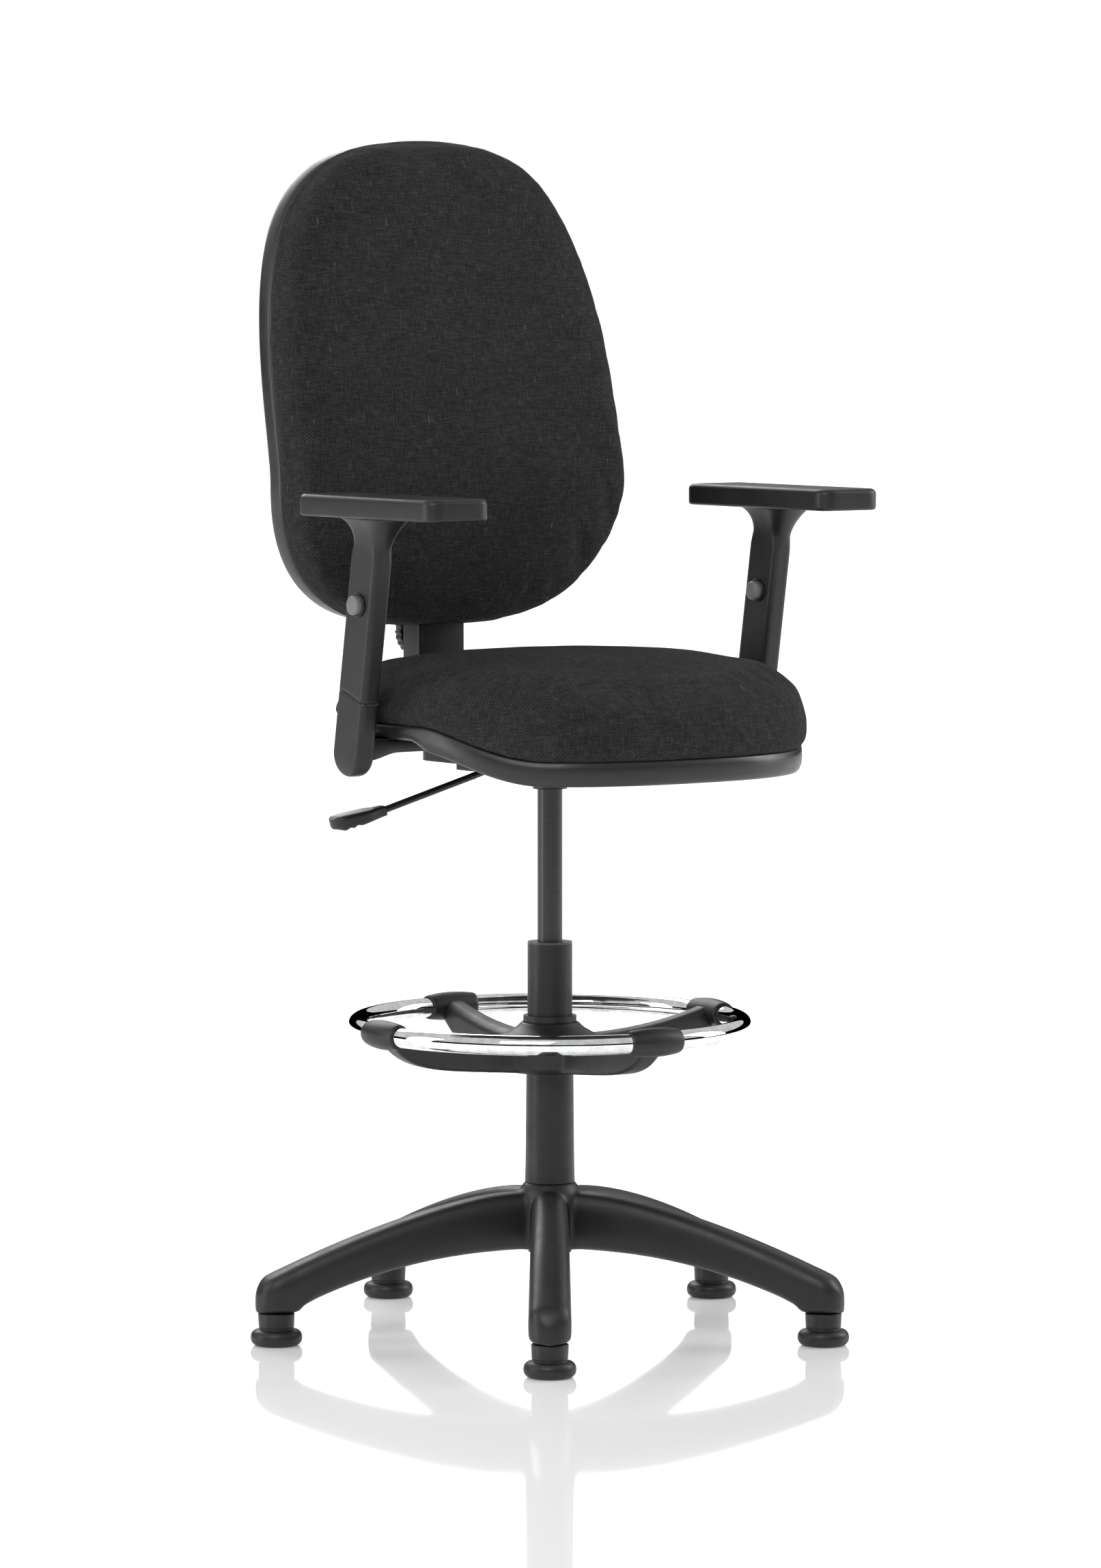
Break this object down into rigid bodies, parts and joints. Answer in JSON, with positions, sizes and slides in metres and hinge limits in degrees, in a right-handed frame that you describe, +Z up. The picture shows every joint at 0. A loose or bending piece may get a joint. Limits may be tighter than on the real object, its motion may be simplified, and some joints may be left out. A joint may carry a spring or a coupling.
{
  "type": "drafting chair",
  "caption": "Tall swivel drafting chair: upholstered seat and tilting back, height-adjustable arms, gas column with foot ring, and a five-leg base on glides.",
  "frame": {"origin": "on the floor in the middle of the box round the chair, 30 mm in front of the gas column's axis", "axes": "+Z up, the sitter faces -Y and has the right arm on the -X side"},
  "size_m": [0.6624, 0.6328, 1.325],
  "materials": {
    "base_nylon": "moulded, satin",
    "glide_nylon": "moulded, satin",
    "zinc_plate": "zinc plated",
    "column_paint": "powder coat, fine satin",
    "column_plastic": "moulded, matt",
    "bush_acetal": "moulded, matt",
    "bearing_steel": "ground steel",
    "stop_rubber": "moulded rubber",
    "cylinder_paint": "black finish, drawn tube",
    "mechanism_paint": "powder coat",
    "plywood": "moulded beech plywood",
    "shell_plastic": "moulded, fine texture",
    "seat_fabric": "woven, charcoal",
    "back_fabric": "woven, charcoal",
    "arm_nylon": "moulded, satin",
    "pad_polyurethane": "self-skinned foam, fine leather texture",
    "button_plastic": "moulded, matt",
    "lever_paint": "black paint",
    "lever_plastic": "moulded, satin",
    "ring_chrome": "polished chrome plate"
  },
  "bodies": {
    "base": {"base_star": "base_nylon", "glide_stems": "zinc_plate", "column_tube": "column_paint", "column_cover": "column_plastic", "guide_bush": "bush_acetal", "bearing_race_lower": "bearing_steel", "glide_1": "glide_nylon", "glide_2": "glide_nylon", "glide_3": "glide_nylon", "glide_4": "glide_nylon", "glide_5": "glide_nylon"},
    "piston": {"piston_rod": "bearing_steel", "piston_head": "zinc_plate", "bearing_balls": "bearing_steel", "bearing_race_upper": "bearing_steel", "bump_stop": "stop_rubber", "rod_clip": "zinc_plate"},
    "seat": {"gas_cylinder": "cylinder_paint", "cylinder_guide": "bush_acetal", "mechanism_housing": "mechanism_paint", "mechanism_plate": "mechanism_paint", "recline_pin": "bearing_steel", "recline_spring": "bearing_steel", "seat_board": "plywood", "seat_shell": "shell_plastic", "seat_cushion": "seat_fabric", "seat_bolts": "zinc_plate", "seat_tee_nuts": "zinc_plate", "arm_bracket_right": "mechanism_paint", "arm_bracket_left": "mechanism_paint", "arm_sleeve_right": "arm_nylon", "arm_sleeve_left": "arm_nylon", "arm_bolts": "zinc_plate"},
    "arm_right": {"arm_post_right": "arm_nylon", "arm_pad_right": "pad_polyurethane"},
    "arm_left": {"arm_post_left": "arm_nylon", "arm_pad_left": "pad_polyurethane"},
    "button_right": {"arm_button_right": "button_plastic"},
    "button_left": {"arm_button_left": "button_plastic"},
    "valve": {"release_pin": "zinc_plate"},
    "lever": {"lever_rod": "lever_paint", "lever_paddle": "lever_plastic"},
    "upright": {"upright_bar": "mechanism_paint", "upright_cover": "shell_plastic"},
    "back": {"back_carriage": "mechanism_paint", "back_board": "plywood", "back_shell": "shell_plastic", "back_cushion": "back_fabric", "back_screws": "zinc_plate"},
    "wheel": {"hand_wheel": "lever_plastic", "clamp_stud": "zinc_plate"},
    "ring_grip": {"ring_collet": "bush_acetal"},
    "foot_rest": {"ring_spider": "base_nylon", "foot_ring": "ring_chrome", "ring_clip_1": "base_nylon", "ring_clip_2": "base_nylon", "ring_clip_3": "base_nylon", "ring_clip_4": "base_nylon"}
  },
  "joints": [
    {"name": "seat_swivel", "type": "hinge", "parent": "base", "child": "piston", "pos_m": [0, -0.03037, 0.1], "axis": [0, 0, 1], "continuous": true},
    {"name": "seat_height", "type": "slide", "parent": "piston", "child": "seat", "axis": [0, 0, 1], "range_m": [-0.165, 0]},
    {"name": "lever_lift", "type": "hinge", "parent": "seat", "child": "lever", "pos_m": [-0.0286, -0.03037, 0.6495], "axis": [0, 1, 0], "range_deg": [0, 5], "stiffness_Nm_per_rad": 3, "springref_deg": -5.73},
    {"name": "valve_press", "type": "slide", "parent": "seat", "child": "valve", "axis": [0, 0, 1], "range_m": [-0.0026, 0]},
    {"name": "arm_height_right", "type": "slide", "parent": "seat", "child": "arm_right", "axis": [0, -0.1633, 0.9866], "range_m": [0, 0.07]},
    {"name": "arm_height_left", "type": "slide", "parent": "seat", "child": "arm_left", "axis": [0, -0.1633, 0.9866], "range_m": [0, 0.07]},
    {"name": "button_press_right", "type": "slide", "parent": "arm_right", "child": "button_right", "axis": [1, 0, 0], "range_m": [0, 0.004], "stiffness_N_per_m": 500, "springref_m": -0.004},
    {"name": "button_press_left", "type": "slide", "parent": "arm_left", "child": "button_left", "axis": [1, 0, 0], "range_m": [0, 0.004], "stiffness_N_per_m": 500, "springref_m": -0.004},
    {"name": "back_recline", "type": "hinge", "parent": "seat", "child": "upright", "pos_m": [0, 0.04463, 0.6515], "axis": [-1, 0, 0], "range_deg": [0, 18], "stiffness_Nm_per_rad": 90, "springref_deg": -20.05},
    {"name": "back_height", "type": "slide", "parent": "upright", "child": "back", "axis": [0, 0, 1], "range_m": [-0.01, 0.05]},
    {"name": "wheel_turn", "type": "hinge", "parent": "back", "child": "wheel", "pos_m": [0, 0.22603, 0.773], "axis": [0, 1, 0], "range_deg": [0, 360]},
    {"name": "ring_height", "type": "slide", "parent": "base", "child": "ring_grip", "axis": [0, 0, 1], "range_m": [0, 0.07]},
    {"name": "ring_lock", "type": "hinge", "parent": "ring_grip", "child": "foot_rest", "pos_m": [0, -0.03037, 0.346], "axis": [0, 0, 1], "range_deg": [0, 45]}
  ],
  "couplings": [
    {"joint": "valve_press", "follows": "lever_lift", "m_per_rad": -0.0286}
  ]
}
